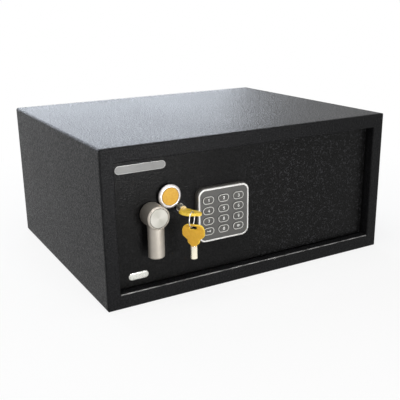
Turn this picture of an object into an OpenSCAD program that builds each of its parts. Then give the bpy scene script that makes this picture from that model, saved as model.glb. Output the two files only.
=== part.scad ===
// Laptop safe: steel cabinet, swinging door, turn knob with a sliding bolt
// carriage, keypad, solenoid blocking pin and an override key lock.
// Millimetres. X runs right along the front, the front faces -Y, Z is up.
// Zero is the middle of the underside of the cabinet.
// Pose as drawn: door shut, bolts drawn back, blocking pin lifted, key
// pushed in and not turned, keyhole cap swung open, second key hanging.

/* [Cabinet] */
// Width of the cabinet
width = 430; // [410:1:450]
// Depth of the cabinet
depth = 350; // [330:1:400]
// Height of the cabinet
height = 200; // [190:1:220]
// Thickness of the folded steel
wall = 2; // [1.5:0.1:2.5]
// Outside radius of the long folded edges
edge_r = 3; // [2.5:0.5:6]
// Width of the frame face beside the opening
jamb = 17.5; // [16:0.5:20]
// Height of the frame face above and below the opening
ledge = 19; // [17:0.5:21]
// Diameter of the four anchor holes
anchor_d = 10; // [8:0.5:12]
// Half the distance between two anchor holes
anchor_x = 100; // [60:5:150]

/* [Door] */
// How far the door sits behind the frame face
recess = 12; // [11:0.5:13]
// Thickness of the door plate
door_t = 3; // [2.5:0.5:4]
// Gap on the bolt side of the door
side_gap = 1.5; // [1:0.1:2]
// Gap on the hinge side of the door
hinge_gap = 2.6; // [2.4:0.1:3]
// Gap above and below the door
level_gap = 2; // [1.8:0.1:3]
// Radius of the hinge pins
pin_r = 2.5; // [2:0.1:3]
// Radial play of every turning or sliding fit
fit = 0.06; // [0.02:0.01:0.09]

/* [Knob] */
// Distance from the left edge of the door to the knob centre
knob_in = 46.5; // [44:0.5:49]
// Distance from the top edge of the door to the knob centre
knob_down = 67.6; // [66:0.2:69]
// Radius of the round knob head
knob_r = 14.6; // [13:0.1:15]
// Length of the knob head, front to back
knob_len = 23.8; // [20:0.2:26]
// Half width of the lever under the knob head
lever_r = 10.5; // [9:0.1:11]
// Reach of the lever below the knob centre
lever_len = 52.2; // [40:0.2:55]
// Radius of the spindle
spindle_r = 4; // [3.5:0.1:4.5]
// Crank radius that drives the bolt bar
crank = 10; // [9.5:0.1:10.5]

/* [Bolts] */
// Radius of the locking bolts
bolt_r = 8; // [7:0.5:8]
// Length of a locking bolt
bolt_len = 41.5; // [40:0.5:42]
// Distance from the bottom edge of the door to the lower bolt
bolt_low = 39; // [37:1:41]
// Distance from the top edge of the door to the upper bolt
bolt_high = 39; // [37:1:41]
// Thickness of the bolt bar
bar_t = 2.4; // [2:0.1:2.6]
// Play of the bolt bar slots
slot_play = 0.45; // [0.35:0.05:0.6]

/* [Lock and keys] */
// Distance from the left edge of the door to the lock centre
lock_in = 86; // [85:0.5:87]
// Distance from the top edge of the door to the lock centre
lock_down = 66.2; // [66:0.2:67]
// Radius of the lock barrel
barrel_r = 8; // [7.5:0.1:8]
// Radius of the turning plug
plug_r = 6; // [5.8:0.1:6.2]
// Outside radius of the tubular key
key_r = 4.3; // [4:0.1:4.4]
// Wall of the tubular key
key_wall = 1.2; // [1:0.1:1.4]
// Free space around the key in the lock
key_play = 0.3; // [0.3:0.05:0.5]
// Length of the tube outside the key bow
key_tube = 16; // [15:0.5:17]
// Lean of the key bow in the lock, right side down
key_lean = 10; // [0:1:12]
// Thickness of the key bow
bow_t = 3.4; // [3:0.1:4]
// Radius of the key ring, to the middle of its wire
ring_r = 9.2; // [9:0.1:9.6]
// Radius of the key ring wire
wire_r = 0.65; // [0.5:0.05:0.7]
// How far the ring and the second key are turned to the left
hang_turn = 48; // [40:1:52]

/* [Keyhole cap] */
// Radius of the cap
cap_r = 15.1; // [14:0.1:15.4]
// How far the cap centre sits to the left of the lock
cap_left = 14.8; // [14:0.2:16]
// How far the cap centre sits above the lock
cap_up = 17.2; // [16.2:0.2:18.2]
// Radius of the coloured insert
insert_r = 11.4; // [10:0.1:12]

/* [Keypad] */
// Distance from the left edge of the door to the keypad centre
pad_in = 146.6; // [144:0.2:148]
// How far the keypad centre sits below the middle of the door
pad_down = 3.3; // [1:0.1:5]
// Keypad width
pad_w = 76.4; // [72:0.2:80]
// Keypad height
pad_h = 71.7; // [70:0.2:74]
// Corner radius of the keypad
pad_r = 11; // [8:0.5:14]
// Width of the dark rim round the bezel
rim_w = 0.7; // [0.4:0.1:1]
// Width of the bright bezel
bezel_w = 2.3; // [2:0.1:3]
// Distance between button columns
pitch_x = 22.2; // [20:0.2:22.4]
// Distance between button rows
pitch_z = 13.7; // [13.4:0.1:14.2]
// Button width
btn_w = 16; // [13:0.2:16.2]
// Button height
btn_h = 9.9; // [9:0.1:10.4]
// How far a button stands out of the face
btn_out = 0.8; // [0.6:0.1:1.2]
// How far a button can be pressed
btn_travel = 0.8; // [0.5:0.1:0.9]

/* [Hidden] */
$fn = 64;

steel = "#2b2b2d";
zinc = "#a9adb0";
nickel = "#c4bfb2";
dark = "#3c3d3f";
yellow = "#e0a428";

// Cabinet planes
yf = -depth / 2;
yb = depth / 2;
ox = width / 2 - jamb;
oz0 = ledge;
oz1 = height - ledge;
zm = height / 2;
lip_side = yf + 19;
lip_level = yf + 25;
bend = 1.5;

// Door planes, front and back of the plate, and its hinge line
yd = yf + recess;
yr = yd + door_t;
dx0 = -ox + side_gap;
dx1 = ox - hinge_gap;
dz0 = oz0 + level_gap;
dz1 = oz1 - level_gap;
door_r = 2;
hinge_in = 7.9;
hinge_back = 3;
hx = dx1 - hinge_in;
hy = yr + hinge_back;
block = 12;
block_w = 10;
block_back = 6;
washer_t = 1.5;
washer_r = 4.6;
bracket_t = 3;
bracket_in = 12;
bracket_front = 10;
pin_short = 1;
pin_seat = 2;

// Inner cover on the back of the door
cov_t = 1.6;
cov_in = 6;
cov_r = 6;
cov_deep = 28;
hinge_clear = 9;
cx0 = dx0 + cov_in;
cx1 = hx - hinge_clear;
cz0 = dz0 + cov_in;
cz1 = dz1 - cov_in;
ycov = yr + cov_deep;
ycin = ycov - cov_t;
post_r = 4.5;
post_in = 12;
post_mid = (cx0 + cx1) / 2 - 14;
screw_r = 1.9;
screw_head = 3.8;
screw_top = 3;
head_t = 2.2;
screw_in = 1.8;
posts = [for (x = [cx0 + post_in, post_mid, cx1 - post_in])
  for (z = [cz0 + post_in, cz1 - post_in]) [x, z]];

// Knob
knob_x = dx0 + knob_in;
knob_z = dz1 - knob_down;
knob_gap = 1.2;
knob_y = yd - knob_gap;
rim_cut = 1.5;
dish_in = 2.3;
dish_deep = 1.2;
disc_t = 1.4;
disc_gap = 0.5;
lever_cut = 1.6;
disc_r = knob_r - dish_in - disc_gap;
lever_y = yd - 13.5;
lever_out = 12.5;
lever_back = 0.7;
spindle_in = 17;
bush_t = 2;
bush_lip = 4;
clip_r = 7;
clip_t = 1;
bush_y = yr + 3;
bush_gap = 0.4;

// Bolt work
bar_back = 14;
bolt_set = 0.5;
bar_lap = 14;
bar_play = 0.3;
bar_end = 12;
bar_side = 15.5;
strip_w = 6;
ybar = yr + bar_back;
bar_y0 = ybar - bar_t / 2;
bar_y1 = ybar + bar_t / 2;
bolt_z0 = dz0 + bolt_low;
bolt_z1 = dz1 - bolt_high;
bolt_x0 = dx0 + bolt_set;
bolt_x1 = bolt_x0 + bolt_len;
bar_x0 = bolt_x1 - bar_lap;
bar_x1 = knob_x + bar_side;
bar_z0 = bolt_z0 - bar_end;
bar_z1 = bolt_z1 + bar_end;
slit_x = bar_x0 - bar_play;
cross_x = bar_x0 + 4;
cross_r = 1.5;
cross_in = 1;
stud_x = bar_x0 + 8;
stud_r = 3;
stud_head = 5;
stud_play = 0.35;
stud_gap = bolt_r + stud_head + 1;
stud_z = [bolt_z0 + stud_gap, bolt_z1 - stud_gap];
head_out = 1.6;
head_gap = 0.8;
seat_gap = 0.6;
guide_x = cx0 + 4;
guide_t = 2.5;
guide_back = 11;
guide_foot = 17;
throw = crank * sqrt(2);
pin_x = knob_x + crank * sin(45);
pin_z = knob_z - crank * cos(45);
crank_pin_r = 2.5;
crank_hub = 9;
crank_end = 4.2;
crank_t = 3;
crank_y1 = bar_y0 - 1.3;
crank_y0 = crank_y1 - crank_t;
slot_h = 9.8;
slot_drop = 1.3;

// Lock
lock_x = dx0 + lock_in;
lock_z = dz1 - lock_down;
collar_r = 5.3;
collar_out = 3;
ycol = yd - collar_out;
way_y = yd + 4.5;
plug_end = bar_y0 - 0.8;
cam_y1 = bar_y0 + 2.5;
cam_reach = 13.5;
cam_tip = 3;
cam_hub = 6;
tail_r = 3.5;
tail_out = 0.2;
lip_r = 0.7;
lip_t = 0.6;
nut_r = 10.6;
nut_t = 5;

// Solenoid and blocking pin, above the arm of the bolt bar
lift = 6;
rod_x = lock_x - 14;
rod_r = 2.5;
arm_h = 14;
arm_z1 = lock_z - 14.8;
arm_z0 = arm_z1 - arm_h;
arm_x1 = lock_x + 8;
rod_tip = arm_z1 + 2;
notch_z = rod_tip - lift - 0.5;
notch_play = 0.6;
detent_w = 3.3;
lug_gap = 0.4;
lug_z = lock_z + cam_reach + lug_gap;
lug_t = 2.5;
lug_x0 = rod_x - 4;
lug_x1 = lock_x + 6;
sol_h = 28;
sol_w = 22;
sol_t = 2;
sol_z1 = cz1 - 9;
sol_z0 = sol_z1 - sol_h;
sol_back = 9;
coil_r = 8;
rod_top = sol_z1 - 8;
spring_r = 4.1;
spring_wire = 1;

// Keys: neck of the bow, slot and ring place
neck_y = yd - 12;
bow_l = 26.8;
bow_w = 14.1;
bow_edge = 0.6;
bow_mid = 14;
bow_draft = 0.95;
slot_w = 8.5;
slot_l = 4;
slot_u = 22.9;
tang_w = 5;
tang_t = 1.6;
tang_l = 8;
tang_lap = 1;
web = 3;
slot_at = 1.8;
ring_lift = 3.9;
ring_slack = 0.28;
ring_reach = sqrt(pow(ring_r - ring_slack, 2) - pow(ring_lift, 2));
hang_gap = 0.5;
hang_side = 2;
eye_x = lock_x + slot_at * cos(key_lean);
eye_y = neck_y - slot_u;
eye_z = lock_z - slot_at * sin(key_lean);
ring_x = eye_x - ring_reach * sin(hang_turn);
ring_y = eye_y - ring_reach * cos(hang_turn);
ring_z = eye_z - ring_lift;
key2_x = ring_x + hang_side * cos(hang_turn);
key2_y = ring_y - hang_side * sin(hang_turn);
key2_z = ring_z - ring_r + wire_r + hang_gap - slot_l / 2 - slot_u;

// Keyhole cap and its pivot
cap_x = lock_x - cap_left;
cap_z = lock_z + cap_up;
cap_y = yd - 3.6;
piv_x = cap_x + 1.3;
piv_z = cap_z - cap_r + 4.7;
piv_r = 2;
boss_r = 4;
boss_play = 0.3;
cap_floor = 2.8;
cap_clip_r = 3.5;

// Keypad layers, each the front of the piece
pad_x = dx0 + pad_in;
pad_z = zm - pad_down;
floor_t = 2;
board_t = 1.6;
mat_t = 1.2;
press_gap = 0.6;
face_t = 0.8;
flange_t = 0.7;
flange_gap = 0.3;
flange_w = 1.1;
bezel_step = 0.5;
hole_play = 0.4;
board_in = 1.6;
mat_in = 2.1;
mat_r = 3;
pad_floor = yd - floor_t;
board_y = pad_floor - board_t;
mat_y = board_y - mat_t;
flange_y = mat_y - press_gap - btn_travel - flange_t;
face_y = flange_y - flange_gap - face_t;
house_y = face_y + 1.6;
bezel_y = face_y - bezel_step;
bez_w = pad_w - 2 * rim_w;
bez_h = pad_h - 2 * rim_w;
bez_r = pad_r - rim_w;
pocket_w = bez_w - 2 * bezel_w;
pocket_h = bez_h - 2 * bezel_w;
pocket_r = bez_r - bezel_w;
btn_x = pad_x - 1;
btn_z = pad_z - 0.45;

// Battery box with four cells, and its sliding cover
bat_pitch = 15.3;
cell_r = 7.25;
cell_h = 49;
cell_low = 25;
nub_r = 2.75;
nub_top = 25.5;
cell_shift = 2;
spring_wide = 5;
spring_top = 3.2;
spring_bore = 2.4;
contact_w = 10;
bat_wall = 1.5;
bat_r = 2;
bat_in_w = 3 * bat_pitch + 2 * cell_r + 1.6;
bat_in_h = 58;
bat_x = cx1 - 83.5;
bat_z = zm;
cell_y = yr + 17;
bat_back = cell_y - cell_r - bat_wall - 0.75;
lid_w = bat_in_w + 7;
lid_h = bat_in_h + 10;
lid_t = 1.6;
lid_gap = 0.4;
rail_t = 2;
rail_out = 3.6;
rail_in = 1.2;

// Code reset switch beside the battery box, and the cables
reset_x = bat_x - 64.5;
reset_z = cz1 - 23;
reset_w = 12;
reset_r = 3.1;
reset_play = 0.4;
reset_rim = 4.6;
reset_out = 1.2;
rim_back = 6.4;
rim_gap = 0.6;
switch_gap = 0.8;
cable_r = 1.2;
cable_hole = 4;
cable_y = yr + 3;
bat_cable_x = bat_x - 20;

module bx(x0, x1, y0, y1, z0, z1)
  translate([x0, y0, z0])
    cube([x1 - x0, y1 - y0, z1 - z0]);

module yrod(x, z, r, y0, y1)
  translate([x, y1, z])
    rotate([90, 0, 0])
      cylinder(r = r, h = y1 - y0);

module xrod(y, z, r, x0, x1)
  translate([x0, y, z])
    rotate([0, 90, 0])
      cylinder(r = r, h = x1 - x0);

module zrod(x, y, r, z0, z1)
  translate([x, y, z0])
    cylinder(r = r, h = z1 - z0);

module ytube(x, z, ro, ri, y0, y1)
  difference() {
    yrod(x, z, ro, y0, y1);
    yrod(x, z, ri, y0 - 1, y1 + 1);
  }

// Flat rounded rectangle made of squares and circles
module round_rect(w, h, r) {
  square([w - 2 * r, h], center = true);
  square([w, h - 2 * r], center = true);
  for (i = [-1, 1])
    for (j = [-1, 1])
      translate([i * (w / 2 - r), j * (h / 2 - r)])
        circle(r = r);
}

// Rounded slab facing the front, from y0 to y1
module slab(x, z, w, h, r, y0, y1)
  translate([x, y1, z])
    rotate([90, 0, 0])
      linear_extrude(y1 - y0)
        round_rect(w, h, r);

// Pill shaped slab facing the front
module pill(x, z, w, h, y0, y1)
  translate([x, y1, z])
    rotate([90, 0, 0])
      linear_extrude(y1 - y0)
        union() {
          square([w - h, h], center = true);
          for (i = [-1, 1])
            translate([i * (w - h) / 2, 0])
              circle(r = h / 2);
        }

// Turned part whose flat back is at y and whose profile grows to the front
module turned(x, y, z)
  translate([x, y, z])
    rotate([90, 0, 0])
      rotate_extrude()
        children();

// Cut that rounds a straight front edge of the opening
module edge_cut_z(x, s)
  translate([x, yf, oz0])
    linear_extrude(oz1 - oz0)
      difference() {
        translate([s > 0 ? -0.1 : -bend, -0.1])
          square([bend + 0.1, bend + 0.1]);
        translate([s * bend, bend])
          circle(r = bend);
      }

module edge_cut_x(z, s)
  translate([-ox, yf, z])
    rotate([90, 0, 90])
      linear_extrude(2 * ox)
        difference() {
          translate([-0.1, s > 0 ? -0.1 : -bend])
            square([bend + 0.1, bend + 0.1]);
          translate([bend, s * bend])
            circle(r = bend);
        }

module body_shell()
  color(steel)
    difference() {
      slab(0, zm, width, height, edge_r, yf + wall, yb - wall);
      slab(0, zm, width - 2 * wall, height - 2 * wall, edge_r - wall, yf, yb);
      for (i = [-1, 1])
        zrod(i * anchor_x, 0, anchor_d / 2, -1, wall + 1);
    }

module back_panel()
  color(steel)
    difference() {
      slab(0, zm, width, height, edge_r, yb - wall, yb);
      for (i = [-1, 1])
        yrod(i * anchor_x, zm, anchor_d / 2, yb - wall - 1, yb + 1);
    }

module frame_face()
  intersection() {
    slab(0, zm, width, height, edge_r, yf, yf + wall);
    translate([-width / 2 - 1, 0, 0])
      rotate([90, 0, 90])
        linear_extrude(width + 2)
          union() {
            translate([yf, wall])
              square([wall + 1, height - 2 * wall]);
            translate([yf + wall, wall])
              circle(r = wall);
            translate([yf + wall, height - wall])
              circle(r = wall);
          }
    translate([0, 0, -1])
      linear_extrude(height + 2)
        union() {
          translate([-width / 2 + wall, yf])
            square([width - 2 * wall, wall + 1]);
          translate([-width / 2 + wall, yf + wall])
            circle(r = wall);
          translate([width / 2 - wall, yf + wall])
            circle(r = wall);
        }
  }

module door_frame()
  color(steel)
    difference() {
      union() {
        frame_face();
        bx(-ox - wall, -ox, yf + wall / 2, lip_side, oz0 - wall, oz1 + wall);
        bx(ox, ox + wall, yf + wall / 2, lip_side, oz0 - wall, oz1 + wall);
        bx(-ox - wall, ox + wall, yf + wall / 2, lip_level, oz0 - wall, oz0);
        bx(-ox - wall, ox + wall, yf + wall / 2, lip_level, oz1, oz1 + wall);
      }
      bx(-ox, ox, yf - 1, lip_level + 1, oz0, oz1);
      edge_cut_z(-ox, -1);
      edge_cut_z(ox, 1);
      edge_cut_x(oz0, -1);
      edge_cut_x(oz1, 1);
      zrod(hx, hy, pin_r + fit, oz0 - wall - 1, oz0 + 1);
      zrod(hx, hy, pin_r + fit, oz1 - 1, oz1 + wall + 1);
    }

module hinge_brackets()
  color(steel)
    difference() {
      union() {
        for (z = [oz0 - wall - bracket_t, oz1 + wall])
          bx(hx - bracket_in, ox + wall, hy - bracket_front, lip_level, z, z + bracket_t);
      }
      zrod(hx, hy, pin_r + fit, 1, oz0);
      zrod(hx, hy, pin_r + fit, oz1, height - 1);
    }

module door_panel()
  color(steel)
    difference() {
      union() {
        slab((dx0 + dx1) / 2, zm, dx1 - dx0, dz1 - dz0, door_r, yd, yr);
        for (z = [dz0, dz1 - block])
          bx(hx - block_w / 2, hx + block_w / 2, yr - door_t / 3, hy + block_back, z,
            z + block);
      }
      zrod(hx, hy, pin_r, dz0 - 1, dz0 + block + 1);
      zrod(hx, hy, pin_r, dz1 - block - 1, dz1 + 1);
      yrod(knob_x, knob_z, spindle_r + bush_t, yd - 1, yr + 1);
      yrod(lock_x, lock_z, barrel_r, yd - 1, yr + 1);
      yrod(piv_x, piv_z, piv_r + fit, yd - 1, yr + 1);
      yrod(pad_x, pad_z, cable_hole, yd - 1, yr + 1);
      for (p = posts)
        yrod(p[0], p[1], screw_r, yr - screw_in - 0.2, yr + 1);
    }

module hinge_pins()
  color(zinc) {
    zrod(hx, hy, pin_r, oz0 - wall - bracket_t + pin_short, dz0 + block - pin_seat);
    zrod(hx, hy, pin_r, dz1 - block + pin_seat, oz1 + wall + bracket_t - pin_short);
  }

module hinge_washers()
  color(zinc)
    difference() {
      union() {
        zrod(hx, hy, washer_r, dz0 - washer_t, dz0);
        zrod(hx, hy, washer_r, dz1, dz1 + washer_t);
      }
      zrod(hx, hy, pin_r, dz0 - 3, dz0 + 1);
      zrod(hx, hy, pin_r, dz1 - 1, dz1 + 3);
    }

// Rail that holds one long edge of the battery cover, s is its side
module cover_rail(z0, s) {
  bx(bat_x - lid_w / 2 - 1.5, cx1 - 2, ycov - 0.5, ycov + rail_out,
    min(z0, z0 + s * rail_t), max(z0, z0 + s * rail_t));
  bx(bat_x - lid_w / 2 - 1.5, cx1 - 2, ycov + rail_out - rail_in, ycov + rail_out,
    z0 - rail_t, z0 + rail_t);
}

module inner_cover()
  color(dark)
    difference() {
      union() {
        difference() {
          slab((cx0 + cx1) / 2, zm, cx1 - cx0, cz1 - cz0, cov_r, yr, ycov);
          slab((cx0 + cx1) / 2, zm, cx1 - cx0 - 2 * cov_t, cz1 - cz0 - 2 * cov_t,
            cov_r - cov_t, yr - 1, ycin);
        }
        for (p = posts)
          yrod(p[0], p[1], post_r, yr, ycin + cov_t / 3);
        cover_rail(bat_z + lid_h / 2 + lid_gap, 1);
        cover_rail(bat_z - lid_h / 2 - lid_gap, -1);
      }
      for (p = posts)
        yrod(p[0], p[1], screw_r, yr - 1, ycov + 1);
      for (z = [bolt_z0, bolt_z1])
        xrod(ybar, z, bolt_r + 0.6, cx0 - 1, cx0 + cov_t + 1);
      slab(bat_x, bat_z, bat_in_w - 1, bat_in_h - 1, 1, ycin - 1, ycov + 1);
      yrod(reset_x, reset_z, reset_r + reset_play, ycin - 1, ycov + 1);
    }

module mounting_screws()
  color(zinc)
    for (p = posts) {
      yrod(p[0], p[1], screw_r, yr - screw_in, ycov + 0.5);
      translate([p[0], ycov, p[1]])
        rotate([-90, 0, 0])
          cylinder(r1 = screw_head, r2 = screw_top, h = head_t);
    }

module bolt_guides()
  color(zinc)
    difference() {
      union()
        for (z = [bolt_z0, bolt_z1]) {
          bx(guide_x, guide_x + guide_t, yr, ybar + guide_back, z - bar_end, z + bar_end);
          bx(guide_x + guide_t / 2, guide_x + guide_foot, yr, yr + guide_t, z - bar_end,
            z + bar_end);
        }
      for (z = [bolt_z0, bolt_z1])
        xrod(ybar, z, bolt_r + fit, guide_x - 1, guide_x + guide_t + 1);
    }

module guide_studs()
  color(zinc)
    for (z = stud_z) {
      yrod(stud_x, z, stud_r, yr, bar_y1 + head_out);
      yrod(stud_x, z, stud_head, yr, bar_y0 - seat_gap);
      yrod(stud_x, z, stud_head, bar_y1 + head_gap, bar_y1 + head_gap + head_out);
    }

module spindle_bush()
  color(zinc)
    difference() {
      union() {
        yrod(knob_x, knob_z, spindle_r + bush_t, yd - 0.5, bush_y);
        yrod(knob_x, knob_z, spindle_r + bush_lip, yd - 0.9, yd);
      }
      yrod(knob_x, knob_z, spindle_r + fit, yd - 2, bush_y + 1);
    }

module solenoid_frame()
  color(zinc)
    difference() {
      bx(rod_x - sol_w / 2, rod_x + sol_w / 2, yr, ybar + sol_back, sol_z0, sol_z1);
      bx(rod_x - sol_w / 2 + sol_t, rod_x + sol_w / 2 - sol_t, yr - 1, ybar + sol_back + 1,
        sol_z0 + sol_t, sol_z1 - sol_t);
      zrod(rod_x, ybar, rod_r + fit, sol_z0 - 1, sol_z0 + sol_t + 1);
    }

module solenoid_coil()
  color("#8c4a28")
    difference() {
      zrod(rod_x, ybar, coil_r, sol_z0 + sol_t, sol_z1 - sol_t);
      zrod(rod_x, ybar, rod_r + 0.4, sol_z0, sol_z1);
    }

module solenoid_plunger()
  color(zinc) {
    zrod(rod_x, ybar, rod_r, rod_tip + 1, rod_top);
    translate([rod_x, ybar, rod_tip])
      cylinder(r1 = rod_r - 1, r2 = rod_r, h = 1);
    bx(lug_x0, lug_x1, ybar - 1.5, ybar + 2.5, lug_z, lug_z + lug_t);
  }

module plunger_spring()
  color(zinc)
    difference() {
      zrod(rod_x, ybar, spring_r, lug_z + lug_t, sol_z0);
      zrod(rod_x, ybar, spring_r - spring_wire, lug_z, sol_z0 + 1);
    }

// Flat outline of the bolt bar, seen from the front
module bar_outline()
  difference() {
    union() {
      translate([bar_x0, bar_z0])
        square([bar_x1 - strip_w + 2 - bar_x0, bar_z1 - bar_z0]);
      translate([bar_x1 - strip_w, bar_z0])
        square([strip_w, sol_z0 - 5 - bar_z0]);
      translate([bar_x1 - 2, arm_z0])
        square([arm_x1 - bar_x1 + 2, arm_h]);
    }
    translate([pin_x, pin_z - slot_drop])
      square([2 * (crank_pin_r + slot_play), slot_h], center = true);
    for (z = stud_z)
      translate([stud_x - stud_r - stud_play, z - stud_r - stud_play])
        square([throw + 2 * (stud_r + stud_play), 2 * (stud_r + stud_play)]);
    polygon([[rod_x - detent_w, notch_z], [rod_x + detent_w, notch_z],
      [rod_x + 2 * detent_w, arm_z1 + 1], [rod_x - 2 * detent_w, arm_z1 + 1]]);
    translate([rod_x + throw - rod_r - notch_play, notch_z])
      square([2 * (rod_r + notch_play), lift]);
  }

module bolt_bar()
  color(zinc)
    difference() {
      translate([0, bar_y1, 0])
        rotate([90, 0, 0])
          linear_extrude(bar_t)
            bar_outline();
      for (z = [bolt_z0, bolt_z1])
        yrod(cross_x, z, cross_r, bar_y0 - 1, bar_y1 + 1);
    }

module locking_bolts()
  color(zinc)
    difference() {
      union()
        for (z = [bolt_z0, bolt_z1]) {
          xrod(ybar, z, bolt_r, bolt_x0 + 1, bolt_x1);
          translate([bolt_x0, ybar, z])
            rotate([0, 90, 0])
              cylinder(r1 = bolt_r - 1, r2 = bolt_r, h = 1);
        }
      for (z = [bolt_z0, bolt_z1]) {
        bx(slit_x, bolt_x1 + 1, bar_y0, bar_y1, z - bolt_r - 1, z + bolt_r + 1);
        yrod(cross_x, z, cross_r, ybar - bolt_r - 1, ybar + bolt_r + 1);
      }
    }

module bolt_pins()
  color(zinc)
    for (z = [bolt_z0, bolt_z1])
      yrod(cross_x, z, cross_r, ybar - bolt_r + cross_in, ybar + bolt_r - cross_in);

// Knob head and lever, one casting
module knob_body()
  color(nickel)
    difference() {
      union() {
        turned(knob_x, knob_y, knob_z)
          polygon([[0, 0], [knob_r - 0.6, 0], [knob_r, 0.6], [knob_r, knob_len - rim_cut],
            [knob_r - 0.4, knob_len - 0.6 * rim_cut], [knob_r - rim_cut, knob_len - 0.1],
            [knob_r - rim_cut - 0.3, knob_len], [0, knob_len]]);
        intersection() {
          union() {
            zrod(knob_x, lever_y, lever_r, knob_z - lever_len + lever_cut, knob_z);
            translate([knob_x, lever_y, knob_z - lever_len])
              cylinder(r1 = lever_r - lever_cut, r2 = lever_r, h = lever_cut);
          }
          bx(knob_x - lever_r - 1, knob_x + lever_r + 1, lever_y - lever_out,
            lever_y + lever_back, knob_z - lever_len - 1, knob_z + 1);
        }
      }
      yrod(knob_x, knob_z, knob_r - dish_in, knob_y - knob_len - 1,
        knob_y - knob_len + dish_deep);
      yrod(knob_x, knob_z, spindle_r, yd - spindle_in, yd);
    }

module knob_face()
  color(nickel)
    turned(knob_x, knob_y - knob_len + dish_deep, knob_z)
      polygon([[0, 0], [disc_r, 0], [disc_r, disc_t - 0.3], [disc_r - 0.3, disc_t],
        [0, disc_t]]);

module knob_spindle()
  color(zinc)
    yrod(knob_x, knob_z, spindle_r, yd - spindle_in, crank_y1);

module spindle_cam()
  color(zinc) {
    difference() {
      union() {
        yrod(knob_x, knob_z, crank_hub, crank_y0, crank_y1);
        yrod(pin_x, pin_z, crank_end, crank_y0, crank_y1);
        translate([knob_x, 0, knob_z])
          rotate([0, -45, 0])
            bx(-crank_end, crank_end, crank_y0, crank_y1, -crank, 0);
      }
      yrod(knob_x, knob_z, spindle_r, crank_y0 - 1, crank_y1 + 1);
    }
    yrod(pin_x, pin_z, crank_pin_r, (crank_y0 + crank_y1) / 2, bar_y1 + 2.3);
  }

module spindle_clip()
  color(zinc)
    ytube(knob_x, knob_z, clip_r, spindle_r, bush_y + bush_gap, bush_y + bush_gap + clip_t);

module lock_barrel()
  color(dark)
    difference() {
      union() {
        yrod(lock_x, lock_z, barrel_r, yd - lip_t / 2, plug_end);
        yrod(lock_x, lock_z, barrel_r + lip_r, yd - lip_t, yd);
      }
      yrod(lock_x, lock_z, plug_r + fit, yd - 2, plug_end + 1);
    }

module lock_nut()
  color(zinc)
    difference() {
      translate([lock_x, yr + nut_t, lock_z])
        rotate([90, 0, 0])
          cylinder(r = nut_r, h = nut_t, $fn = 6);
      yrod(lock_x, lock_z, barrel_r, yr - 1, yr + nut_t + 1);
    }

module lock_plug()
  color(zinc)
    difference() {
      union() {
        yrod(lock_x, lock_z, collar_r, ycol + 0.4, yd);
        translate([lock_x, ycol + 0.4, lock_z])
          rotate([90, 0, 0])
            cylinder(r1 = collar_r, r2 = collar_r - 0.4, h = 0.4);
        yrod(lock_x, lock_z, plug_r, yd, plug_end + 0.3);
        yrod(lock_x, lock_z, tail_r, plug_end, cam_y1 + tail_out);
      }
      difference() {
        yrod(lock_x, lock_z, key_r + key_play, ycol - 1, way_y);
        yrod(lock_x, lock_z, key_r - key_wall - key_play, ycol - 2, way_y + 1);
      }
    }

module lock_cam()
  color(zinc)
    difference() {
      union() {
        yrod(lock_x, lock_z, cam_hub, bar_y0, cam_y1);
        yrod(lock_x + cam_reach - cam_tip, lock_z, cam_tip, bar_y0, cam_y1);
        bx(lock_x, lock_x + cam_reach - cam_tip, bar_y0, cam_y1, lock_z - cam_tip,
          lock_z + cam_tip);
      }
      yrod(lock_x, lock_z, tail_r, plug_end - 1, cam_y1 + 1);
    }

// Points of an arc of the bow, from angle a to angle b
function bow_arc(x, y, r, a, b, n) =
  [for (i = [0:n]) [x + r * cos(a + (b - a) * i / n), y + r * sin(a + (b - a) * i / n)]];

// Right half of the key bow, neck at zero and ring end at bow_l
bow_half = concat([[3.1, 0], [5.2, 2], [6.9, 3.5], [7.4, 4.8], [7.5, 6.8], [7.8, 7.5]],
  bow_arc(bow_w - 4.5, 14.94, 4.5, -51.3, 0, 4), bow_arc(bow_w - 8, bow_l - 8, 8, 0, 90, 8));

module bow_outline()
  polygon(concat(bow_half, [for (i = [len(bow_half) - 1:-1:0]) [-bow_half[i][0], bow_half[i][1]]]));

// One face of the bow, drawn in towards the outside
module bow_face()
  translate([0, bow_mid, bow_t / 2 - bow_edge])
    linear_extrude(bow_edge, scale = bow_draft)
      translate([0, -bow_mid])
        bow_outline();

// A key lying flat: neck at zero, bow to +Y, tube to -Y
module bow_solid()
  difference() {
    union() {
      translate([0, 0, bow_edge - bow_t / 2])
        linear_extrude(bow_t - 2 * bow_edge)
          bow_outline();
      bow_face();
      mirror([0, 0, 1])
        bow_face();
    }
    translate([0, slot_u, -bow_t])
      linear_extrude(2 * bow_t)
        round_rect(slot_w, slot_l, 1);
    tang();
  }

// Flat end of the blade that sits in the bow
module tang()
  bx(-tang_w / 2, tang_w / 2, -tang_lap, tang_l, -tang_t / 2, tang_t / 2);

module blade_solid() {
  difference() {
    rotate([90, 0, 0])
      cylinder(r = key_r, h = key_tube);
    translate([0, -web, 0])
      rotate([90, 0, 0])
        cylinder(r = key_r - key_wall, h = key_tube);
  }
  tang();
}

module key_1_place()
  translate([lock_x, neck_y, lock_z])
    rotate([0, key_lean, 0])
      rotate([0, 0, 180])
        children();

module key_2_place()
  translate([key2_x, key2_y, key2_z])
    rotate([90, 0, -hang_turn])
      children();

module key_1_blade()
  color(zinc)
    key_1_place()
      blade_solid();

module key_1_bow()
  color(yellow)
    key_1_place()
      bow_solid();

module key_2_blade()
  color(zinc)
    key_2_place()
      blade_solid();

module key_2_bow()
  color(yellow)
    key_2_place()
      bow_solid();

module key_ring()
  color(zinc)
    translate([ring_x, ring_y, ring_z])
      rotate([0, 90, -hang_turn])
        rotate_extrude()
          translate([ring_r, 0])
            circle(r = wire_r);

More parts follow.
